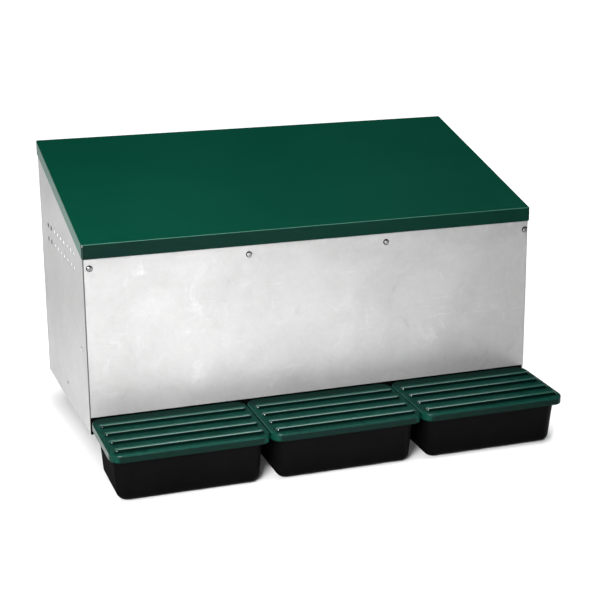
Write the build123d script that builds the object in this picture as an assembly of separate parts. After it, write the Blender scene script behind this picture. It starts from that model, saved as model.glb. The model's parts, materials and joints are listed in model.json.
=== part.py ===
from build123d import *
import os

os.makedirs("parts", exist_ok=True)

# ---------------------------------------------------------------- sizes, mm
W = 900.0            # width over the side panels
D = 430.0            # depth, face of the front panel to the back edge
YF = -D / 2          # front face of the front panel; y below is counted from it
T = 1.0              # galvanised sheet
DIV_X = W / 6        # dividers stand at -DIV_X and +DIV_X

ROOF_Y0, ROOF_Z0 = -2.5, 364.0     # front fold of the roof, top face
ROOF_Y1, ROOF_Z1 = 433.0, 490.0    # back fold of the roof, top face
ROOF_X = 451.6                     # half width of the roof
LIP = 27.2                         # height of the roof lips
RELIEF = 2.2                       # open corners of the roof, between the lips
SLOPE = (ROOF_Z1 - ROOF_Z0) / (ROOF_Y1 - ROOF_Y0)
FRONT_TOP = ROOF_Z0 - 1.5          # top of the front panel
RAIL_Z = ROOF_Z1 - 65.0            # underside of the rear top rail

SLOT_Z = 34.5        # bottom edge of the front panel
SCREW_Z = 319.5
SCREW_X = (-438.0, -136.0, 142.0, 442.0)

VENT_D = 10.0
VENT_N = 9
VENT_PITCH = 33.0
VENT_Y0 = 83.0
VENT_Z = (302.0, 330.0)
SIDE_HOLE_D = 7.0
SIDE_HOLE_Z = 37.5
GUARD_RIVET_Y, GUARD_RIVET_Z = 44.6, 156.0

BASE_Y0, BASE_Y1 = 84.0, 428.0
BASE_BOLT_X, BASE_BOLT_Y, BASE_BOLT_D = 680.0, 220.0, 7.0

SILL_Z = 140.0                               # top of the sill at the hens' entrance
FLOOR_BREAK_Y, FLOOR_BREAK_Z = 80.0, 16.0    # top of the chute
FLOOR_RISE = 0.21256                         # twelve degrees
CHUTE_Y, CHUTE_Z = 2.0, -31.0                # foot of the chute
CHUTE_HALF = 116.0
PL = 3.0                                     # plastic wall of the floor

TUB_X = (-302.0, -2.5, 297.0)     # tub centres
NEST_X = (-299.75, 0.0, 299.75)   # nest centres
TILT = 2.8                        # tubs and lids hang a little nose-down
LID_Y, LID_Z = -1.5, 33.0         # back top edge of the lid
LID_W, LID_L, LID_H = 297.5, 179.5, 14.5
LID_T = 2.5
RIB_U0, RIB_PITCH, RIB_W, RIB_H = 43.0, 38.0, 13.0, 5.0
RIB_LEN = (280.6, 279.5, 278.4, 277.3)
PIV_U, PIV_H = 14.5, -8.5         # lid hinge line from the back top edge
TUB_W, TUB_U0, TUB_U1 = 281.0, 10.0, 168.0
TUB_TOP, TUB_BOTTOM = -3.0, -100.0
TUB_T = 2.5
DRAFT = 4.5

HINGE_X = (-260.0, 260.0)
HINGE_Y, HINGE_Z = 433.0, RAIL_Z + 36.0


# ------------------------------------------------------------------ helpers
def bx(x0, x1, y0, y1, z0, z1):
    x0, x1 = min(x0, x1), max(x0, x1)
    return Pos((x0 + x1) / 2, YF + (y0 + y1) / 2, (z0 + z1) / 2) * Box(
        x1 - x0, y1 - y0, z1 - z0
    )


def prism(pts, x0, x1):
    x0, x1 = min(x0, x1), max(x0, x1)
    pl = Plane(origin=(x0, YF, 0), x_dir=(0, 1, 0), z_dir=(1, 0, 0))
    return extrude(pl * Polygon(*pts, align=None), amount=x1 - x0, dir=(1, 0, 0))


def rod_x(x0, x1, y, z, r):
    x0, x1 = min(x0, x1), max(x0, x1)
    return Pos((x0 + x1) / 2, YF + y, z) * Rot(0, 90, 0) * Cylinder(r, x1 - x0)


def rod_y(x, y0, y1, z, r):
    return Pos(x, YF + (y0 + y1) / 2, z) * Rot(90, 0, 0) * Cylinder(r, y1 - y0)


def roof_top(y):
    return ROOF_Z0 + SLOPE * (y - ROOF_Y0)


def under_roof(y):
    return roof_top(y) - 1.9


def floor_z(y):
    return FLOOR_BREAK_Z + FLOOR_RISE * (y - FLOOR_BREAK_Y)


def dome(r, h, f):
    head = Pos(0, 0, h / 2) * Cylinder(r, h)
    return fillet(head.edges().group_by(Axis.Z)[-1], f)


def rivet(grip, r_head=4.0, h_head=1.9, r_shank=2.0, h_tail=1.3):
    body = dome(r_head, h_head, 1.5)
    body += Pos(0, 0, -grip / 2) * Cylinder(r_shank, grip)
    body += Pos(0, 0, -grip - h_tail / 2) * Cylinder(3.0, h_tail)
    return body


def save(shape, name):
    export_step(shape, f"parts/{name}.step")


def group(shapes):
    return Compound([s for shape in shapes for s in shape.solids()])


# -------------------------------------------------------------- front panel
front = bx(-448.6, 448.6, 0, T, SLOT_Z, FRONT_TOP)
front += bx(-423.5, 423.5, T, 2 * T, SLOT_Z, SLOT_Z + 11)
front += bx(-423.5, 423.5, T, 19, FRONT_TOP - T, FRONT_TOP)
front = fillet(
    front.edges()
    .filter_by(Axis.X)
    .filter_by(lambda e: abs(e.center().Y - YF) < 1e-6 and e.length > 800),
    0.8,
)
for x in SCREW_X:
    front -= rod_y(x, -1, 3, SCREW_Z, 3.2)
save(front, "front_panel")

# -------------------------------------------------------------- side panels
side = prism(
    [
        (4, 0),
        (D, 0),
        (D, under_roof(D)),
        (4, under_roof(4)),
        (4, FRONT_TOP - 3.5),
        (1.2, FRONT_TOP - 3.5),
        (1.2, 48),
        (4, 48),
    ],
    -W / 2,
    -W / 2 + T,
)
side += bx(-W / 2, -424, 1.2, 2.2, 48, FRONT_TOP - 3.5)
side += bx(-W / 2, -429.5, D - T, D, SILL_Z + 7, RAIL_Z - 2)
side += prism(
    [
        (22, under_roof(22)),
        (424, under_roof(424)),
        (424, under_roof(424) - T),
        (22, under_roof(22) - T),
    ],
    -W / 2,
    -434,
)
side = fillet(
    side.edges()
    .filter_by(Axis.Z)
    .filter_by(
        lambda e: abs(e.center().X + W / 2) < 1e-6
        and abs(e.center().Y - YF - 1.2) < 1e-6
        and e.length > 200
    ),
    1.4,
)
for z in VENT_Z:
    for i in range(VENT_N):
        side -= rod_x(-W / 2 - 1, -W / 2 + 2, VENT_Y0 + i * VENT_PITCH, z, VENT_D / 2)
side -= rod_x(-W / 2 - 1, -W / 2 + 2, D / 2, SIDE_HOLE_Z, SIDE_HOLE_D / 2)
side -= rod_x(-W / 2 - 1, -W / 2 + 2, GUARD_RIVET_Y, GUARD_RIVET_Z, 2.0)
side_right = mirror(side, about=Plane.YZ)
side -= rod_y(SCREW_X[0], 0, 3, SCREW_Z, 3.2)
side_right -= rod_y(SCREW_X[3], 0, 3, SCREW_Z, 3.2)
save(side, "left_side_panel")
save(side_right, "right_side_panel")

# ------------------------------------------------------------------ base pan
base = bx(-449, 449, BASE_Y0, BASE_Y1, 0, T)
base += bx(-449, -448, BASE_Y0, BASE_Y1, T, 26)
base += bx(448, 449, BASE_Y0, BASE_Y1, T, 26)
base += bx(-449, 449, BASE_Y0, BASE_Y0 + T, T, 12.5)
base += bx(-449, 449, BASE_Y1 - T, BASE_Y1, T, 20)
for x in (-DIV_X, DIV_X):
    base -= bx(x - 1.5, x + 1.5, BASE_Y0 - 1, BASE_Y0 + 2, T, 30)
for sx in (-1, 1):
    for sy in (-1, 1):
        base -= Pos(sx * BASE_BOLT_X / 2, sy * BASE_BOLT_Y / 2, 0) * Cylinder(
            BASE_BOLT_D / 2, 6
        )
save(base, "base_pan")

# ------------------------------------------------------------- hens' entrance
sill = bx(-449, 449, 428, 429, 0, SILL_Z)
sill += bx(-449, 449, 416, 428, SILL_Z - T, SILL_Z)
sill += bx(-449, 449, 416, 417, SILL_Z - 7, SILL_Z - T)
sill = fillet(
    sill.edges()
    .filter_by(Axis.X)
    .filter_by(
        lambda e: abs(e.center().Z - SILL_Z) < 1e-6 and e.length > 800
    ),
    0.9,
)
save(sill, "rear_sill")

rail = bx(-449, 449, 428, 429, RAIL_Z, RAIL_Z + 60)
rail += bx(-449, 449, 410, 428, RAIL_Z, RAIL_Z + T)
for hx in HINGE_X:
    for dx in (-20, 20):
        rail -= rod_y(hx + dx, 427, 430, RAIL_Z + 18, 2.0)
save(rail, "rear_top_rail")

# ------------------------------------------------------------------ dividers
for name, s, screw in (("divider_left", -1, SCREW_X[1]), ("divider_right", 1, SCREW_X[2])):
    x0, x1 = s * DIV_X - T / 2, s * DIV_X + T / 2
    div = prism(
        [
            (40, T),
            (426, T),
            (426, SILL_Z - 9),
            (409, SILL_Z - 9),
            (409, RAIL_Z + 2),
            (427.6, RAIL_Z + 2),
            (427.6, under_roof(427.6) - 3),
            (22, under_roof(22) - 3),
            (22, FRONT_TOP - 5.5),
            (1.2, FRONT_TOP - 5.5),
            (1.2, 48),
            (40, 48),
        ],
        x0,
        x1,
    )
    inner = x1 if s < 0 else x0
    outer = x0 if s < 0 else x1
    div += bx(outer, inner - s * 26, 1.2, 2.2, 48, FRONT_TOP - 8.5)
    div += bx(outer, inner - s * 20, 408, 409, SILL_Z + 7, RAIL_Z - 4)
    div -= rod_y(screw, 0, 3, SCREW_Z, 3.2)
    div -= rod_x(x0 - 1, x1 + 1, GUARD_RIVET_Y, GUARD_RIVET_Z, 2.0)
    save(div, name)

# ---------------------------------------------------------------- egg guards
WALLS = ((-449.0, -DIV_X - T / 2), (-DIV_X + T / 2, DIV_X - T / 2), (DIV_X + T / 2, 449.0))
NAMES = ("left", "centre", "right")
for name, (x0, x1) in zip(NAMES, WALLS):
    guard = bx(x0, x1, 54, 55, 62, 165)
    guard += bx(x0 + 2, x1 - 2, 44, 55, 164, 165)
    for a, b in ((x0, x0 + T), (x1 - T, x1)):
        guard += bx(a, b, 34, 55, 130, 163)
        guard -= rod_x(a - 0.5, b + 0.5, GUARD_RIVET_Y, GUARD_RIVET_Z, 2.0)
    save(guard, f"egg_guard_{name}")

rivets = []
for s in (-1, 1):
    rivets.append(
        Pos(s * W / 2, YF + GUARD_RIVET_Y, GUARD_RIVET_Z) * Rot(0, s * 90, 0) * rivet(2.0)
    )
    rivets.append(
        Pos(s * (DIV_X + T / 2 + T), YF + GUARD_RIVET_Y, GUARD_RIVET_Z)
        * Rot(0, s * 90, 0)
        * rivet(3.0)
    )
save(group(rivets), "guard_rivets")

# -------------------------------------------------------------- front screws
screws, nuts = [], []
for x in SCREW_X:
    screw = dome(6.0, 4.0, 3.2)
    screw += Pos(0, 0, -5.5) * Cylinder(2.95, 11)
    screw -= extrude(Pos(0, 0, 2.4) * RegularPolygon(radius=2.3, side_count=6), amount=3)
    screws.append(Pos(x, YF, SCREW_Z) * Rot(90, 0, 0) * screw)
    nut = extrude(RegularPolygon(radius=5.77, side_count=6), amount=5)
    nut -= Pos(0, 0, 2.5) * Cylinder(3.0, 6)
    nuts.append(Pos(x, YF + 7.2, SCREW_Z) * Rot(90, 0, 0) * nut)
save(group(screws), "front_screws")
save(group(nuts), "front_screw_nuts")

# --------------------------------------------------------------- nest floors
for name, nx, tx in zip(NAMES, NEST_X, TUB_X):
    a, b = nx - 147.5, nx + 147.5
    c, d = tx - CHUTE_HALF, tx + CHUTE_HALF
    fl = prism(
        [(80, 16), (420, floor_z(420)), (420, floor_z(420) - 3.05), (80, 12.95)], a, b
    )
    fl += prism(
        [
            (84, floor_z(84)),
            (80, 16),
            (CHUTE_Y, CHUTE_Z),
            (-10, CHUTE_Z),
            (-10, CHUTE_Z - PL),
            (CHUTE_Y - 1, CHUTE_Z - PL),
            (79, 12.6),
            (84, floor_z(84) - 3.05),
        ],
        c,
        d,
    )
    fl += bx(c, d, -10, -7, -50, CHUTE_Z)
    fl += bx(a, b, 417, 420, T, floor_z(417) - 1)
    for e in (a, b - PL):
        fl += prism(
            [(88, T), (418, T), (418, floor_z(418) - 1), (88, floor_z(88) - 1)], e, e + PL
        )
    for s, edge, wall in ((-1, a, c), (1, b, d)):
        inside = wall - s * PL
        fl += prism(
            [(2, -32), (80, 15), (104, 19), (104, 54), (6, 54), (6, -10), (2, -16)],
            inside,
            wall,
        )
        fl += bx(inside, edge + s * 1.45, 6, 9, 0, 54)
        if s > 0 and name != "right":
            fl += bx(edge - 6, edge, 8, 11.9, 0, 47)
            fl += bx(edge - 6, edge + 4.4, 9.4, 11.9, 0, 47)
        guide = extrude(
            Pos(0, YF, 18)
            * Polygon(
                (edge, 150),
                (edge, 143),
                (wall, 98),
                (inside, 98),
                (inside, 103),
                (edge - s * 4.5, 150),
                align=None,
            ),
            amount=38,
            dir=(0, 0, 1),
        )
        fl += guide
        fl -= bx(tx + s * 92, tx + s * 112, -5.5, -1.4, -40, -25)
    if name == "left":
        fl -= bx(a - 1, a + PL + 0.5, D / 2 - 14, D / 2 + 14, 26.5, floor_z(D / 2 - 14) - 3.2)
    if name == "right":
        fl -= bx(b - PL - 0.5, b + 1, D / 2 - 14, D / 2 + 14, 26.5, floor_z(D / 2 - 14) - 3.2)
    save(fl, f"nest_floor_{name}")

    mat = prism(
        [
            (156, floor_z(156) + 0.3),
            (404, floor_z(404) + 0.3),
            (404, floor_z(404) + 9.3),
            (156, floor_z(156) + 9.3),
        ],
        nx - 141,
        nx + 141,
    )
    save(mat, f"nest_mat_{name}")

# ---------------------------------------------------------------- roof panel
v = 1.04 * T
roof = prism(
    [
        (ROOF_Y0, ROOF_Z0),
        (ROOF_Y1, ROOF_Z1),
        (ROOF_Y1, ROOF_Z1 - v),
        (ROOF_Y0, ROOF_Z0 - v),
    ],
    -ROOF_X,
    ROOF_X,
)
for sx in (-1, 1):
    for ya, yb in ((ROOF_Y0, ROOF_Y0 + RELIEF), (ROOF_Y1 - RELIEF, ROOF_Y1)):
        roof -= bx(sx * (ROOF_X - RELIEF), sx * (ROOF_X + 1), ya, yb, 300, 500)
roof += bx(
    -ROOF_X + RELIEF, ROOF_X - RELIEF, ROOF_Y0, ROOF_Y0 + T, ROOF_Z0 - LIP, ROOF_Z0 - v / 2
)
roof += bx(
    -ROOF_X + RELIEF, ROOF_X - RELIEF, ROOF_Y1 - T, ROOF_Y1, ROOF_Z1 - 25.0, ROOF_Z1 - v / 2
)
ya, yb = ROOF_Y0 + RELIEF, ROOF_Y1 - RELIEF
for sx in (-1, 1):
    roof += prism(
        [
            (ya, roof_top(ya) - v / 2),
            (yb, roof_top(yb) - v / 2),
            (yb, roof_top(yb) - LIP),
            (ya, roof_top(ya) - LIP),
        ],
        sx * (ROOF_X - T),
        sx * ROOF_X,
    )
top = [
    f
    for f in roof.faces()
    if f.area > 300000 and f.normal_at(f.center()).Z > 0.9
]
folds = [e for e in top[0].edges() if e.length > 300]
roof = fillet(folds, 1.5)
for hx in HINGE_X:
    for dx in (-20, 20):
        roof -= rod_y(hx + dx, ROOF_Y1 - 2, ROOF_Y1 + 1, RAIL_Z + 52, 2.0)
save(roof, "roof_panel")

# --------------------------------------------------------------- roof hinges
fixed, moving, pins, riv_rail, riv_roof = [], [], [], [], []
for hx in HINGE_X:
    leaf = bx(hx - 30, hx + 30, 429, 430.2, RAIL_Z + 8, RAIL_Z + 31)
    for a, b in ((hx - 30, hx - 10), (hx + 10, hx + 30)):
        leaf += bx(a, b, 429, 430.2, RAIL_Z + 30, HINGE_Z)
        leaf += bx(a, b, 429, 432, HINGE_Z - 3, HINGE_Z)
        leaf += rod_x(a, b, HINGE_Y, HINGE_Z, 3.5)
    leaf -= rod_x(hx - 31, hx + 31, HINGE_Y, HINGE_Z, 2.0)
    for dx in (-20, 20):
        leaf -= rod_y(hx + dx, 428, 431, RAIL_Z + 18, 2.0)
    fixed.append(leaf)
    leaf = bx(hx - 30, hx + 30, 430.8, 432, HINGE_Z + 4.4, RAIL_Z + 61)
    leaf += bx(hx - 9.6, hx + 9.6, 430.8, 432, HINGE_Z, HINGE_Z + 5)
    leaf += rod_x(hx - 9.6, hx + 9.6, HINGE_Y, HINGE_Z, 3.5)
    leaf -= rod_x(hx - 31, hx + 31, HINGE_Y, HINGE_Z, 2.05)
    for dx in (-20, 20):
        leaf -= rod_y(hx + dx, 430, 433, RAIL_Z + 52, 2.0)
    moving.append(leaf)
    pin = rod_x(hx - 30, hx + 30, HINGE_Y, HINGE_Z, 2.0)
    pin += rod_x(hx - 31.5, hx - 30, HINGE_Y, HINGE_Z, 3.0)
    pin += rod_x(hx + 30, hx + 31.5, HINGE_Y, HINGE_Z, 3.0)
    pins.append(pin)
    for dx in (-20, 20):
        riv_rail.append(Pos(hx + dx, YF + 430.2, RAIL_Z + 18) * Rot(-90, 0, 0) * rivet(2.2))
        riv_roof.append(
            Pos(hx + dx, YF + 433, RAIL_Z + 52) * Rot(-90, 0, 0) * rivet(2.2, h_tail=1.2)
        )
save(group(fixed), "hinge_fixed_leaves")
save(group(moving), "hinge_moving_leaves")
save(group(pins), "hinge_pins")
save(group(riv_rail), "hinge_rivets_rail")
save(group(riv_roof), "hinge_rivets_roof")


# ------------------------------------------------------- egg tubs and lids
def lx(x0, x1, u0, u1, h0, h1):
    x0, x1 = min(x0, x1), max(x0, x1)
    return Pos((x0 + x1) / 2, -(u0 + u1) / 2, (h0 + h1) / 2) * Box(
        x1 - x0, u1 - u0, h1 - h0
    )


def lrod(x0, x1, u, h, r):
    x0, x1 = min(x0, x1), max(x0, x1)
    return Pos((x0 + x1) / 2, -u, h) * Rot(0, 90, 0) * Cylinder(r, x1 - x0)


def outline(w, u0, u1, r_front, r_back):
    s = Rectangle(w, u1 - u0)
    s = fillet(s.vertices().group_by(Axis.Y)[0], r_front)
    s = fillet(s.vertices().group_by(Axis.Y)[-1], r_back)
    return Pos(0, -(u0 + u1) / 2, 0) * s


def tapered(w, u0, u1, r, h_top, depth):
    pl = Plane(
        origin=(0, -(u0 + u1) / 2, h_top), x_dir=(1, 0, 0), z_dir=(0, 0, -1)
    )
    return extrude(pl * RectangleRounded(w, u1 - u0, r), amount=depth, taper=DRAFT)


def make_lid():
    lid = extrude(Pos(0, 0, -LID_H) * outline(LID_W, 0, LID_L, 24, 22), amount=LID_H)
    lid = fillet(lid.edges().group_by(Axis.Z)[-1], 3.4)
    lid -= extrude(
        Pos(0, 0, -LID_H - 1)
        * outline(LID_W - 2 * LID_T, LID_T, LID_L - LID_T, 21.5, 19.5),
        amount=LID_H + 1 - LID_T,
    )
    lid -= lx(-145.9, 145.9, -1, 20, -LID_H - 1, -LID_T)
    for i, length in enumerate(RIB_LEN):
        rib = extrude(SlotOverall(length, RIB_W), amount=RIB_H + 0.8)
        rib = fillet(rib.edges().group_by(Axis.Z)[-1], 4.9)
        lid += Pos(0, -(RIB_U0 + i * RIB_PITCH), -0.8) * rib
    for s in (-1, 1):
        lid += lx(s * 140.5, s * 144, PIV_U - 5, PIV_U + 5, PIV_H, -LID_T + 0.3)
        lid += lrod(s * 140.5, s * 144, PIV_U, PIV_H, 5.0)
        lid -= lrod(s * 140, s * 145, PIV_U, PIV_H, 1.5)
    return lid


def make_tub():
    depth = TUB_TOP - TUB_BOTTOM
    tub = tapered(TUB_W, TUB_U0, TUB_U1, 27, TUB_TOP, depth)
    tub = fillet(tub.edges().group_by(Axis.Z)[0], 16)
    rim = extrude(
        Pos(0, 0, TUB_TOP - 3) * outline(289.6, 26, 175.3, 20, 2), amount=3
    )
    tub += rim
    hollow = tapered(
        TUB_W - 2 * TUB_T, TUB_U0 + TUB_T, TUB_U1 - TUB_T, 24.5, TUB_TOP, depth - TUB_T
    )
    hollow = fillet(hollow.edges().group_by(Axis.Z)[0], 13.5)
    tub -= hollow
    tub -= lx(-150, 150, -5, 25.9, -12, 2)
    for s in (-1, 1):
        tub += lx(s * 121, s * 139.5, PIV_U - 5, PIV_U + 5, -20, PIV_H)
        tub += lrod(s * 121, s * 139.5, PIV_U, PIV_H, 5.0)
        tub -= lrod(s * 126, s * 140.5, PIV_U, PIV_H, 1.55)
    return tub


lid0, tub0 = make_lid(), make_tub()
for name, tx in zip(NAMES, TUB_X):
    place = Pos(tx, YF + LID_Y, LID_Z) * Rot(TILT, 0, 0)
    save(place * lid0, f"tub_lid_{name}")
    save(
        group(
            [
                place * lrod(s * 126.6, s * 144, PIV_U, PIV_H, 1.5)
                for s in (-1, 1)
            ]
        ),
        f"lid_pins_{name}",
    )
    tub = place * tub0
    tub -= bx(tx - 91, tx + 91, -22, 0, -33, 40)
    tub -= bx(tx - 113, tx + 113, -22, 0, -28, 40)
    for s in (-1, 1):
        tub += bx(tx + s * 93, tx + s * 111, -15.6, -2.0, -30.7, -28)
        tub += bx(tx + s * 93, tx + s * 111, -4.9, -2.0, -42, -28)
    save(tub, f"egg_tub_{name}")
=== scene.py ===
"""Looks of a three-nest roll-away nest box: galvanised sheet, painted roof, hung egg tubs with ribbed lids."""

import bpy
import bmesh
import json
import math
import random
from mathutils import Matrix, Vector


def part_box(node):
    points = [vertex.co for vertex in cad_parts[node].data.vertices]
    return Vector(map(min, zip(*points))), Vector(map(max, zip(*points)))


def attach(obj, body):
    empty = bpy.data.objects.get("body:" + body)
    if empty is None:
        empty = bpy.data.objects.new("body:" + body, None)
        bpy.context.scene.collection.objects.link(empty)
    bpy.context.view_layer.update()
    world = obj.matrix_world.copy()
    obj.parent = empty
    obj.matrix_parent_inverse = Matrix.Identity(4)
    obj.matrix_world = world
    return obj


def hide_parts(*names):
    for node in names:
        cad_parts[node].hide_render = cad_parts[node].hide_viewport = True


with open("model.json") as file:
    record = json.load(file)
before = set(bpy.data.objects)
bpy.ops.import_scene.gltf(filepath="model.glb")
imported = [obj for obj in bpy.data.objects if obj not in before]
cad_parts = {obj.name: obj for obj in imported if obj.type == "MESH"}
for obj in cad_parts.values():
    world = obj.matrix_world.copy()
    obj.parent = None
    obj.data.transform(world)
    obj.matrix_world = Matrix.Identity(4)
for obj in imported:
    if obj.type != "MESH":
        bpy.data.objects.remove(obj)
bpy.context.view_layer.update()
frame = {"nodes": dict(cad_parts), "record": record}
NODES = frame["nodes"]


# ---------------------------------------------------------------- node helpers
class Tree:
    """A material's node tree, read in object space: the shared frame, in metres."""

    def __init__(self, name):
        self.mat = bpy.data.materials.new(name)
        self.mat.use_nodes = True
        self.nt = self.mat.node_tree
        self.bsdf = self.nt.nodes["Principled BSDF"]
        self.at = self.add("ShaderNodeTexCoord").outputs["Object"]

    def add(self, kind, **props):
        n = self.nt.nodes.new(kind)
        for k, v in props.items():
            setattr(n, k, v)
        return n

    def put(self, socket, value):
        if isinstance(value, bpy.types.NodeSocket):
            self.nt.links.new(value, socket)
        else:
            socket.default_value = value

    def set(self, **values):
        for k, v in values.items():
            self.put(self.bsdf.inputs[k.replace("_", " ")], v)

    def mapped(self, scale=(1, 1, 1), rot=(0, 0, 0), loc=(0, 0, 0), vec=None):
        n = self.add("ShaderNodeMapping")
        self.put(n.inputs["Vector"], self.at if vec is None else vec)
        n.inputs["Scale"].default_value = scale
        n.inputs["Rotation"].default_value = rot
        n.inputs["Location"].default_value = loc
        return n.outputs["Vector"]

    def noise(self, vec, scale, detail=3.0, rough=0.5, warp=0.0):
        n = self.add("ShaderNodeTexNoise")
        self.put(n.inputs["Vector"], vec)
        n.inputs["Scale"].default_value = scale
        n.inputs["Detail"].default_value = detail
        n.inputs["Roughness"].default_value = rough
        n.inputs["Distortion"].default_value = warp
        return n.outputs["Fac"]

    def cells(self, vec, scale, feature="F1", out="Distance", rand=1.0):
        n = self.add("ShaderNodeTexVoronoi", feature=feature)
        self.put(n.inputs["Vector"], vec)
        n.inputs["Scale"].default_value = scale
        n.inputs["Randomness"].default_value = rand
        return n.outputs[out]

    def calc(self, op, a, b=0.0, clamp=False):
        n = self.add("ShaderNodeMath", operation=op, use_clamp=clamp)
        self.put(n.inputs[0], a)
        self.put(n.inputs[1], b)
        return n.outputs[0]

    def span(self, v, a0, a1, b0=0.0, b1=1.0, smooth=False):
        n = self.add("ShaderNodeMapRange", clamp=True)
        if smooth:
            n.interpolation_type = "SMOOTHSTEP"
        self.put(n.inputs["Value"], v)
        for k, x in zip(("From Min", "From Max", "To Min", "To Max"), (a0, a1, b0, b1)):
            n.inputs[k].default_value = x
        return n.outputs["Result"]

    def mix(self, fac, a, b, blend="MIX"):
        n = self.add("ShaderNodeMix", data_type="RGBA", blend_type=blend)
        self.put(n.inputs["Factor"], fac)
        for socket, v in ((n.inputs[6], a), (n.inputs[7], b)):
            if isinstance(v, bpy.types.NodeSocket):
                self.nt.links.new(v, socket)
            else:
                socket.default_value = (*v, 1.0)
        return n.outputs[2]

    def axis(self, name, vec=None):
        n = self.add("ShaderNodeSeparateXYZ")
        self.put(n.inputs[0], self.at if vec is None else vec)
        return n.outputs[name]

    def facing(self):
        return self.at.node.outputs["Normal"]

    def bump(self, height, strength, distance):
        n = self.add("ShaderNodeBump")
        n.inputs["Strength"].default_value = strength
        n.inputs["Distance"].default_value = distance
        self.put(n.inputs["Height"], height)
        self.put(self.bsdf.inputs["Normal"], n.outputs["Normal"])


# ------------------------------------------------------------------- materials
def galvanised():
    t = Tree("galvanised_sheet")
    cloud = t.noise(t.mapped((1.0, 1.0, 1.2)), 6.5, 4, 0.55, 0.8)
    smudge = t.noise(t.mapped((1.0, 1.0, 0.8), (0.05, 0.08, 0.02)), 21.0, 6, 0.64, 0.9)
    patch = t.noise(t.mapped((1, 1, 1), (0.9, 0.2, 0.5)), 55.0, 4, 0.60, 0.9)
    tick_a = t.noise(t.mapped((120, 120, 30), (0.10, 0.16, 0.0)), 1.0, 3, 0.55)
    tick_b = t.noise(t.mapped((22, 22, 210), (0.05, -0.06, 0.0)), 1.0, 3, 0.55)
    where = t.noise(t.mapped((1, 1, 1), (1.1, 0.3, 0.9)), 11.0, 3, 0.5)
    cell = t.add("ShaderNodeTexVoronoi", feature="F1")
    t.put(cell.inputs["Vector"], t.at)
    cell.inputs["Scale"].default_value = 110.0
    bw = t.add("ShaderNodeRGBToBW")
    t.put(bw.inputs[0], cell.outputs["Color"])
    spangle = bw.outputs[0]
    bright = t.calc("MULTIPLY", t.span(smudge, 0.55, 0.72, 0.0, 1.0, True), t.span(where, 0.36, 0.62))
    dull = t.calc("MULTIPLY", t.span(smudge, 0.46, 0.30, 0.0, 1.0, True), t.span(where, 0.66, 0.40))
    tick = t.calc("MAXIMUM", t.span(tick_a, 0.62, 0.74), t.span(tick_b, 0.60, 0.72))
    tick = t.calc("MULTIPLY", tick, t.span(where, 0.48, 0.62))
    tone = t.calc("MULTIPLY", t.calc("SUBTRACT", cloud, 0.5), 0.60)
    tone = t.calc("ADD", tone, t.calc("MULTIPLY", bright, 0.24))
    tone = t.calc("SUBTRACT", tone, t.calc("MULTIPLY", dull, 0.14))
    tone = t.calc("ADD", tone, t.calc("MULTIPLY", t.calc("SUBTRACT", patch, 0.5), 0.20))
    tone = t.calc("ADD", tone, t.calc("MULTIPLY", t.calc("SUBTRACT", spangle, 0.5), 0.05))
    tone = t.calc("ADD", tone, t.calc("MULTIPLY", tick, 0.16))
    tone = t.calc("ADD", tone, 0.46, clamp=True)
    colour = t.mix(tone, (0.126, 0.1256, 0.1248), (0.258, 0.258, 0.2576))
    x = t.calc("ABSOLUTE", t.axis("X"))
    # painted shade: a dark line along the joint of the front panel and the side panel's front fold, in place of the
    # shadow in the gap between them
    seam_gap_shade = t.calc("MULTIPLY", t.span(x, 0.44795, 0.44815), t.span(t.axis("Y"), -0.2128, -0.2126, 1.0, 0.0))
    colour = t.mix(seam_gap_shade, colour, (0.030, 0.030, 0.031))
    # painted shade: the inner face of each side panel's rear flange, seen through the vents, is darkened to near
    # black
    inner_flange_shade = t.calc("MULTIPLY", t.span(x, 0.4250, 0.4255), t.span(x, 0.4494, 0.4491))
    inner_flange_shade = t.calc("MULTIPLY", inner_flange_shade, t.span(t.axis("Y"), 0.2050, 0.2080))
    inner_flange_shade = t.calc("MULTIPLY", inner_flange_shade, t.span(t.axis("Y", t.facing()), -0.90, -0.98))
    colour = t.mix(inner_flange_shade, colour, (0.028, 0.028, 0.028))
    # painted shade: the walls of the low side hole and of the two rear vents in each row are darkened to near black
    low = t.calc("MULTIPLY", t.span(t.calc("ABSOLUTE", t.axis("Y")), 0.0045, 0.0041), t.span(t.axis("Z"), 0.0425, 0.0420))
    rear = t.calc("MULTIPLY", t.span(t.axis("Y"), 0.0825, 0.0835), t.span(t.axis("Z"), 0.2900, 0.2910))
    rear = t.calc("MULTIPLY", rear, t.span(t.axis("Z"), 0.3420, 0.3410))
    vent_bore_shade = t.calc("MULTIPLY", t.calc("MAXIMUM", low, rear), t.span(x, 0.4487, 0.4489))
    vent_bore_shade = t.calc("MULTIPLY", vent_bore_shade, t.span(t.calc("ABSOLUTE", t.axis("X", t.facing())), 0.60, 0.40))
    colour = t.mix(vent_bore_shade, colour, (0.012, 0.012, 0.012))
    rough = t.calc("ADD", t.span(patch, 0.25, 0.75, 0.305, 0.36), t.span(spangle, 0, 1, -0.01, 0.01))
    t.set(Base_Color=colour, Metallic=0.28, Roughness=rough, Specular_IOR_Level=0.2)
    high = t.calc("ADD", t.calc("MULTIPLY", patch, 0.4), t.calc("MULTIPLY", cloud, 2.4))
    t.bump(high, 0.04, 0.0012)
    return t.mat


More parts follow.
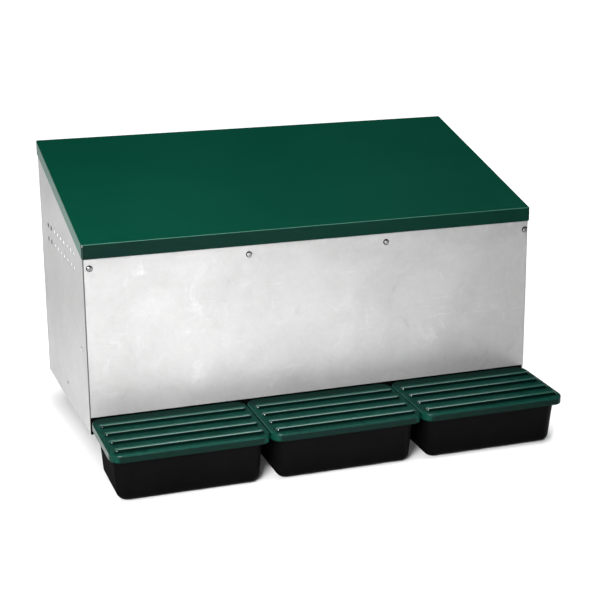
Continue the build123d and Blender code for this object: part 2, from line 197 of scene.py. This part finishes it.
def zinc(name="zinc_plated_steel", rim=False):
    t = Tree(name)
    haze = t.noise(t.mapped(), 240.0, 4, 0.6)
    grain = t.noise(t.mapped((1, 1, 1)), 1900.0, 2, 0.5)
    colour = t.mix(t.span(haze, 0.3, 0.7), (0.22, 0.222, 0.226), (0.38, 0.383, 0.387))
    if rim:
        face = t.axis("Y", t.facing())
        colour = t.mix(0.48, colour, (0.050, 0.050, 0.051))
        # painted shade: the faces of the dome that turn away from the front, its rim, are darkened to near black
        colour = t.mix(t.span(face, -0.95, -0.70), colour, (0.008, 0.008, 0.008))
    t.set(Base_Color=colour, Metallic=1.0, Roughness=t.span(haze, 0.3, 0.7, 0.20, 0.32))
    t.bump(grain, 0.06, 0.0004)
    return t.mat


def roof_paint():
    t = Tree("green_roof_paint")
    cloud = t.noise(t.mapped((1, 1, 1)), 3.4, 4, 0.55)
    wave = t.noise(t.mapped((1.0, 9.0, 9.0)), 2.0, 3, 0.5)
    peel = t.noise(t.mapped(), 900.0, 2, 0.5)
    dust = t.span(t.noise(t.mapped(), 620.0, 2, 0.45), 0.66, 0.78)
    tone = t.calc("ADD", t.calc("MULTIPLY", cloud, 0.7), t.calc("MULTIPLY", wave, 0.3))
    colour = t.mix(t.span(tone, 0.36, 0.64), (0.0003, 0.0208, 0.0121), (0.0005, 0.0235, 0.0139))
    colour = t.mix(t.calc("MULTIPLY", dust, 0.03), colour, (0.03, 0.09, 0.07))
    front = t.calc("MULTIPLY", t.axis("Y", t.facing()), -1.0)
    # painted shade: the front-facing lip gets a darker green, darkest towards the left end
    lip_shade = t.span(front, 0.95, 0.99)
    # painted highlight: a lighter green line on the rounded fold between the roof top and the front lip
    fold_highlight = t.calc("MULTIPLY", t.span(front, 0.34, 0.50), t.span(front, 0.97, 0.88))
    colour = t.mix(t.calc("MULTIPLY", lip_shade, t.span(t.axis("X"), -0.46, 0.46, 0.96, 0.66)), colour, (0.0006, 0.0056, 0.0040))
    colour = t.mix(t.calc("MULTIPLY", fold_highlight, 0.75), colour, (0.040, 0.095, 0.072))
    # painted sheen: the side lips get a lighter green base colour in place of the light and grazing reflection
    # falling on them; the same mask also gives them a thin coat
    side = t.span(t.calc("ABSOLUTE", t.axis("X", t.facing())), 0.93, 0.98)
    colour = t.mix(t.calc("MULTIPLY", side, 0.95), colour, (0.021, 0.070, 0.051))
    t.set(
        Base_Color=colour,
        Roughness=t.span(cloud, 0.3, 0.7, 0.36, 0.44),
        Specular_IOR_Level=0.03,
        Coat_Weight=t.calc("MULTIPLY", side, 0.20),
        Coat_Roughness=0.25,
        Coat_IOR=1.5,
    )
    t.bump(t.calc("ADD", peel, t.calc("MULTIPLY", cloud, 3.0)), 0.04, 0.0006)
    return t.mat


LID_SLOPE = math.radians(2.8)


def lid_plastic():
    t = Tree("green_lid_plastic")
    cloud = t.noise(t.mapped(), 22.0, 3, 0.5)
    flow = t.noise(t.mapped((4.0, 90.0, 90.0), (0, 0, 0.02)), 1.0, 4, 0.6)
    tick = t.noise(t.mapped((240.0, 30.0, 60.0), (0, 0, 0.5)), 1.0, 3, 0.6)
    grain = t.noise(t.mapped(), 1500.0, 2, 0.5)
    high = t.calc(
        "ADD",
        t.calc("MULTIPLY", t.calc("ADD", t.axis("Y"), 0.2165), -math.sin(LID_SLOPE)),
        t.calc("MULTIPLY", t.calc("SUBTRACT", t.axis("Z"), 0.0330), math.cos(LID_SLOPE)),
    )
    flat = t.calc("MULTIPLY", t.span(high, -0.0008, -0.0003), t.span(high, 0.0011, 0.0003))
    along = t.calc(
        "SUBTRACT",
        t.calc("MULTIPLY", t.calc("ADD", t.axis("Y"), 0.2165), -math.cos(LID_SLOPE)),
        t.calc("MULTIPLY", t.calc("SUBTRACT", t.axis("Z"), 0.0330), math.sin(LID_SLOPE)),
    )
    off_rib = t.calc("PINGPONG", t.calc("SUBTRACT", along, 0.043), 0.019)
    off_mid = t.calc("PINGPONG", t.calc("ADD", t.axis("X"), 0.302), 0.14975)
    ribbed = t.calc("MULTIPLY", t.span(off_mid, 0.1395, 0.1370), t.calc("MULTIPLY", t.span(along, 0.028, 0.032), t.span(along, 0.172, 0.168)))
    # painted shade: a dark band on the flat along both sides of each rib's foot
    rib_foot_shade = t.calc("MULTIPLY", ribbed, t.calc("MULTIPLY", flat, t.span(off_rib, 0.0125, 0.0085)))
    # painted shade: the flat behind the first rib, next to the front panel, is darkened
    rear = t.calc("MULTIPLY", flat, t.span(along, 0.042, 0.016))
    rib = t.span(high, 0.0008, 0.0020)
    front = t.calc("MULTIPLY", t.axis("Y", t.facing()), -1.0)
    shine = t.calc("MULTIPLY", rib, t.calc("MULTIPLY", t.span(front, 0.06, 0.18), t.span(front, 0.66, 0.54)))
    # painted shade: the front flanks of the ribs are darkened
    flank_shade = t.calc("MULTIPLY", t.span(front, 0.52, 0.62), t.span(high, 0.0, 0.0005))
    ends = t.calc("MULTIPLY", t.span(high, 0.0015, 0.0025), t.span(t.calc("ABSOLUTE", t.axis("X", t.facing())), 0.25, 0.45))
    # painted highlight: a lighter green on the top front of each rib
    crest_highlight = t.calc("MULTIPLY", t.calc("MULTIPLY", t.span(front, -0.02, 0.20, 0.35, 1.0), t.span(front, 0.58, 0.48)), t.span(high, 0.0036, 0.0043))
    rim = t.calc("MULTIPLY", t.span(high, -0.0004, -0.0009), t.span(high, -0.0038, -0.0026))
    # painted shade: the front-facing skirt of each lid is darkened
    skirt_shade = t.calc("MULTIPLY", t.span(front, 0.86, 0.96), t.span(high, -0.0024, -0.0034))
    streak = t.calc("ADD", t.calc("MULTIPLY", flow, 0.45), t.calc("MULTIPLY", tick, 0.55))
    plain = t.calc("ADD", t.calc("MULTIPLY", cloud, 0.12), t.calc("MULTIPLY", streak, 0.08))
    plain = t.calc("MULTIPLY", t.calc("SUBTRACT", 1.0, flat), t.calc("SUBTRACT", plain, -0.40))
    streak = t.calc("ADD", t.calc("MULTIPLY", flat, streak), plain)
    colour = t.mix(t.span(streak, 0.38, 0.64), (0.0003, 0.0086, 0.0056), (0.0028, 0.0258, 0.0186))
    colour = t.mix(t.span(cloud, 0.35, 0.75, 0.0, 0.25), colour, (0.0012, 0.0215, 0.0150))
    # painted shade: rib flanks, rib feet and the rear strip are darkened together
    lid_shade_mix = t.calc("MAXIMUM", t.calc("MULTIPLY", flank_shade, 0.95), t.calc("MAXIMUM", t.calc("MULTIPLY", rib_foot_shade, 0.80), t.calc("MULTIPLY", rear, 0.62)))
    colour = t.mix(lid_shade_mix, colour, (0.0001, 0.0020, 0.0014))
    colour = t.mix(t.calc("MULTIPLY", crest_highlight, 0.78), colour, (0.014, 0.056, 0.042))
    colour = t.mix(t.calc("MULTIPLY", skirt_shade, 0.90), colour, (0.0008, 0.0042, 0.0032))
    gloss = t.span(streak, 0.34, 0.68, 0.13, 0.18)
    matt = t.span(streak, 0.34, 0.68, 0.36, 0.54)
    t.set(
        Base_Color=colour,
        Roughness=t.calc("ADD", t.calc("MULTIPLY", flat, matt), t.calc("MULTIPLY", t.calc("SUBTRACT", 1.0, flat), gloss)),
        Specular_IOR_Level=0.022,
        Coat_Weight=t.calc("MAXIMUM", t.calc("MAXIMUM", t.calc("MULTIPLY", shine, 0.75), ends), t.calc("MULTIPLY", rim, 0.10)),
        Coat_Roughness=0.12,
        Coat_IOR=1.6,
    )
    t.bump(t.calc("ADD", t.calc("MULTIPLY", grain, 0.3), t.calc("MULTIPLY", t.calc("MULTIPLY", tick, flat), 1.2)), 0.03, 0.0005)
    return t.mat


def black_plastic():
    t = Tree("black_tub_plastic")
    cloud = t.noise(t.mapped(), 14.0, 4, 0.55)
    grain = t.noise(t.mapped(), 1300.0, 2, 0.5)
    drag = t.noise(t.mapped((60, 60, 7)), 1.0, 3, 0.6)
    tone = t.calc("ADD", t.calc("MULTIPLY", cloud, 0.6), t.calc("MULTIPLY", drag, 0.4))
    colour = t.mix(t.span(tone, 0.35, 0.68), (0.0007, 0.0007, 0.0007), (0.0011, 0.0011, 0.0011))
    side = t.span(t.calc("ABSOLUTE", t.axis("X", t.facing())), 0.55, 0.90, 0.0, 0.50)
    t.set(
        Base_Color=colour,
        Roughness=t.calc("ADD", side, t.span(tone, 0.3, 0.7, 0.34, 0.42)),
        Specular_IOR_Level=0.014,
    )
    t.bump(grain, 0.02, 0.0004)
    return t.mat


def turf():
    t = Tree("green_turf")
    far = t.noise(t.mapped(), 30.0, 3, 0.55)
    near = t.noise(t.mapped(), 420.0, 2, 0.5)
    tip = t.add("ShaderNodeAttribute", attribute_name="tip").outputs["Fac"]
    tone = t.calc("ADD", t.calc("MULTIPLY", far, 0.5), t.calc("MULTIPLY", near, 0.5))
    low = t.mix(t.span(tone, 0.35, 0.65), (0.006, 0.040, 0.008), (0.012, 0.070, 0.014))
    high = t.mix(t.span(tone, 0.35, 0.65), (0.030, 0.150, 0.026), (0.075, 0.260, 0.045))
    t.set(
        Base_Color=t.mix(tip, low, high),
        Roughness=t.span(near, 0.3, 0.7, 0.42, 0.62),
        Specular_IOR_Level=0.35,
    )
    t.bump(near, 0.15, 0.0006)
    return t.mat


MATERIALS = {
    "galvanised": galvanised(),
    "zinc_steel": zinc(),
    "roof_paint": roof_paint(),
    "lid_plastic": lid_plastic(),
    "black_plastic": black_plastic(),
    "mat_turf": turf(),
}
for part in frame["record"]["subparts"]:
    node = NODES[part["node"]]
    node.data.materials.clear()
    node.data.materials.append(MATERIALS[part["material_slot"]])
NODES["front_screws"].data.materials.clear()
NODES["front_screws"].data.materials.append(zinc("zinc_dome_screw", rim=True))


# ------------------------------------------------------------------- nest mats
MAT_TILT = math.atan(0.21256)
MAT_PITCH = 0.0098


def turf_mat(side, seed):
    """A moulded turf mat: a carrier sheet with rounded corners and rows of bent blades."""
    node = "nest_mat_" + side
    lo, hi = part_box(node)
    rng = random.Random(seed)
    half_x = (hi.x - lo.x) / 2
    thick = 0.009 * math.cos(MAT_TILT)
    length = (hi.y - lo.y) / math.cos(MAT_TILT) - 0.004
    place = Matrix.Translation(
        ((lo.x + hi.x) / 2, (lo.y + hi.y) / 2, (lo.z + hi.z) / 2)
    ) @ Matrix.Rotation(MAT_TILT, 4, "X")
    bm = bmesh.new()
    tip = bm.verts.layers.float.new("tip")
    half_y = length / 2
    z0, z1 = -thick / 2, -thick / 2 + 0.0024

    def ring(inset, z, radius=0.012, steps=5):
        found = []
        for cx, cy, a0 in (
            (half_x - inset, half_y - inset, 0.0),
            (-half_x + inset, half_y - inset, 90.0),
            (-half_x + inset, -half_y + inset, 180.0),
            (half_x - inset, -half_y + inset, 270.0),
        ):
            ox = cx - math.copysign(radius, cx)
            oy = cy - math.copysign(radius, cy)
            for k in range(steps + 1):
                a = math.radians(a0 + 90.0 * k / steps)
                found.append(bm.verts.new((ox + radius * math.cos(a), oy + radius * math.sin(a), z)))
        return found

    rings = [ring(0.0006, z0), ring(0.0, z0 + 0.0006), ring(0.0, z1 - 0.0006), ring(0.0006, z1)]
    for a, b in zip(rings, rings[1:]):
        for k in range(len(a)):
            m = (k + 1) % len(a)
            bm.faces.new((a[k], a[m], b[m], b[k]))
    bm.faces.new(list(reversed(rings[0])))
    bm.faces.new(rings[-1])
    nx = int((2 * half_x - 0.008) / MAT_PITCH)
    ny = int((length - 0.008) / MAT_PITCH)
    for i in range(nx):
        for j in range(ny):
            px = (i - (nx - 1) / 2) * MAT_PITCH + (0.25 if j % 2 else -0.25) * MAT_PITCH
            py = (j - (ny - 1) / 2) * MAT_PITCH
            px += rng.uniform(-0.0005, 0.0005)
            py += rng.uniform(-0.0005, 0.0005)
            turn = rng.uniform(0, math.tau)
            blades = 7
            for k in range(blades):
                a = turn + math.tau * k / blades + rng.uniform(-0.25, 0.25)
                root = Vector((px + 0.0011 * math.cos(a), py + 0.0011 * math.sin(a), z1 - 0.0003))
                reach = rng.uniform(0.0022, 0.0040)
                high = rng.uniform(0.0050, 0.0063)
                out = Vector((math.cos(a), math.sin(a), 0))
                across = Vector((-math.sin(a), math.cos(a), 0))
                w = 0.00085
                mid = root + out * reach * 0.35 + Vector((0, 0, high * 0.6))
                top = root + out * reach + Vector((0, 0, high))
                base3 = [
                    bm.verts.new(root + across * w),
                    bm.verts.new(root - across * w),
                    bm.verts.new(root + out * w * 0.7),
                ]
                mid3 = [
                    bm.verts.new(mid + across * w * 0.75),
                    bm.verts.new(mid - across * w * 0.75),
                    bm.verts.new(mid + out * w * 0.5),
                ]
                point = bm.verts.new(top)
                for v in base3:
                    v[tip] = 0.0
                for v in mid3:
                    v[tip] = 0.55
                point[tip] = 1.0
                for k0 in range(3):
                    k1 = (k0 + 1) % 3
                    bm.faces.new((base3[k0], base3[k1], mid3[k1], mid3[k0]))
                    bm.faces.new((mid3[k0], mid3[k1], point))
                bm.faces.new((base3[2], base3[1], base3[0]))
    bmesh.ops.recalc_face_normals(bm, faces=bm.faces)
    mesh = bpy.data.meshes.new("turf_" + side)
    bm.to_mesh(mesh)
    bm.free()
    mesh.transform(place)
    obj = bpy.data.objects.new("turf_mat_" + side, mesh)
    bpy.context.scene.collection.objects.link(obj)
    mesh.materials.append(MATERIALS["mat_turf"])
    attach(obj, "mat_" + side)
    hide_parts(node)
    return obj


for number, side in enumerate(("left", "centre", "right")):
    turf_mat(side, 11 + number)


# ------------------------------------------------------- floor, light, camera
FLOOR_Z = min(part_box("egg_tub_" + s)[0].z for s in ("left", "centre", "right")) - 0.0006


FLOOR_NEAR, FLOOR_FAR = 0.17, 0.82


def studio_floor():
    bm = bmesh.new()
    rows = []
    for r in (0.0, 0.6, 1.2, 2.4, 5.0, 12.0, 40.0):
        if r == 0.0:
            rows.append([bm.verts.new((0, 0, FLOOR_Z))])
            continue
        rows.append(
            [
                bm.verts.new((r * math.cos(math.tau * k / 48), r * math.sin(math.tau * k / 48), FLOOR_Z))
                for k in range(48)
            ]
        )
    for k in range(48):
        bm.faces.new((rows[0][0], rows[1][k], rows[1][(k + 1) % 48]))
    for a, b in zip(rows[1:], rows[2:]):
        for k in range(48):
            m = (k + 1) % 48
            bm.faces.new((a[k], b[k], b[m], a[m]))
    mesh = bpy.data.meshes.new("studio_floor")
    bm.to_mesh(mesh)
    bm.free()
    obj = bpy.data.objects.new("studio_floor", mesh)
    bpy.context.scene.collection.objects.link(obj)
    t = Tree("pale_floor")
    cloud = t.noise(t.mapped(), 1.2, 3, 0.5)
    far = t.add("ShaderNodeVectorMath", operation="LENGTH")
    t.put(far.inputs[0], t.at)
    aside = t.calc("MAXIMUM", t.calc("SUBTRACT", t.calc("ABSOLUTE", t.axis("X")), 0.41), 0.0)
    ahead = t.calc("MAXIMUM", t.calc("SUBTRACT", t.calc("MULTIPLY", t.axis("Y"), -1.0), 0.37), 0.0)
    behind = t.calc("MAXIMUM", t.calc("SUBTRACT", t.axis("Y"), 0.22), 0.0)
    past = t.calc("MAXIMUM", ahead, t.calc("MULTIPLY", behind, 0.60))
    away = t.calc("SQRT", t.calc("ADD", t.calc("MULTIPLY", aside, aside), t.calc("MULTIPLY", past, past)))
    # painted shadow: the floor around and under the tubs gets a darker grey and less glow, fading out about 11 cm
    # away, weaker towards the right
    contact_shadow_zone = t.calc("MULTIPLY", t.span(away, 0.11, 0.0, 0.0, 1.0, True), t.span(t.axis("X"), -0.40, 0.50, 1.0, 0.60))
    t.set(
        Base_Color=t.mix(contact_shadow_zone, t.mix(t.span(cloud, 0.3, 0.7), (0.90, 0.90, 0.90), (0.93, 0.93, 0.93)), (0.46, 0.46, 0.46)),
        Roughness=0.9,
        Specular_IOR_Level=0.0,
        Emission_Color=(1.0, 1.0, 1.0, 1.0),
        Emission_Strength=t.calc(
            "ADD",
            t.calc("MULTIPLY", t.span(far.outputs["Value"], 0.9, 2.6, 0.0, 1.0, True), t.span(t.axis("Y"), -1.6, 0.4, FLOOR_FAR - 0.40, FLOOR_FAR)),
            t.calc("MULTIPLY", t.calc("SUBTRACT", 1.0, contact_shadow_zone), FLOOR_NEAR),
        ),
    )
    mesh.materials.append(t.mat)


def softbox(name, at, to, size, power, spread=180.0):
    lamp = bpy.data.lights.new(name, "AREA")
    lamp.shape = "RECTANGLE"
    lamp.size, lamp.size_y = size
    lamp.energy = power
    lamp.spread = math.radians(spread)
    obj = bpy.data.objects.new(name, lamp)
    obj.location = at
    obj.rotation_mode = "QUATERNION"
    obj.rotation_quaternion = (Vector(to) - Vector(at)).to_track_quat("-Z", "Y")
    bpy.context.scene.collection.objects.link(obj)


def studio_world():
    world = bpy.data.worlds.new("studio")
    bpy.context.scene.world = world
    world.use_nodes = True
    nt = world.node_tree
    back = nt.nodes["Background"]
    where = nt.nodes.new("ShaderNodeTexCoord").outputs["Generated"]
    split = nt.nodes.new("ShaderNodeSeparateXYZ")
    nt.links.new(where, split.inputs[0])
    band = nt.nodes.new("ShaderNodeMapRange")
    band.interpolation_type = "SMOOTHSTEP"
    nt.links.new(split.outputs["Z"], band.inputs["Value"])
    for k, v in (("From Min", 0.12), ("From Max", 0.50), ("To Min", 0.34), ("To Max", 0.02)):
        band.inputs[k].default_value = v
    back.inputs["Color"].default_value = (1, 1, 1, 1)
    nt.links.new(band.outputs["Result"], back.inputs["Strength"])


studio_floor()
studio_world()
softbox("overhead_left", (-0.90, -0.35, 2.30), (-0.2, -0.10, 0.0), (1.6, 1.7), 10.0)
softbox("overhead_right", (0.60, -0.25, 2.30), (0.2, -0.10, 0.0), (1.6, 1.4), 50.0)
softbox("floor_front", (0.10, -1.06, 1.25), (0.10, -1.06, 0.0), (0.8, 0.8), 15.0, 38.0)
softbox("front_low", (-0.30, -2.95, 0.42), (-0.3, -0.2, 0.20), (1.0, 0.6), 9.0)
softbox("key_left", (-1.25, -1.80, 1.00), (-0.34, -0.2, 0.12), (0.9, 0.9), 25.5, 66.0)
softbox("strip", (0.00, -1.00, 2.30), (0.0, -0.25, 0.0), (1.1, 0.5), 9.0)
softbox("left", (-2.40, -0.30, 1.20), (-0.4, 0.0, 0.20), (1.2, 1.2), 1.0)
softbox("back", (0.30, 2.40, 0.55), (0.0, 0.2, 0.20), (1.6, 0.6), 14.0)

camera = bpy.data.cameras.new("camera")
camera.sensor_fit = "HORIZONTAL"
camera.sensor_width = 36.0
camera.lens = 86.4701
camera.clip_start, camera.clip_end = 0.05, 200.0
eye = bpy.data.objects.new("camera", camera)
eye.matrix_world = Matrix(
    (
        (0.9418817, 0.0963124, -0.3218428, -0.9220104),
        (-0.3358473, 0.2468808, -0.9089865, -2.7190463),
        (-0.0080899, 0.9642478, 0.2648788, 0.9503262),
        (0.0, 0.0, 0.0, 1.0),
    )
)
bpy.context.scene.collection.objects.link(eye)
bpy.context.scene.camera = eye
bpy.context.scene.view_settings.view_transform = "Standard"
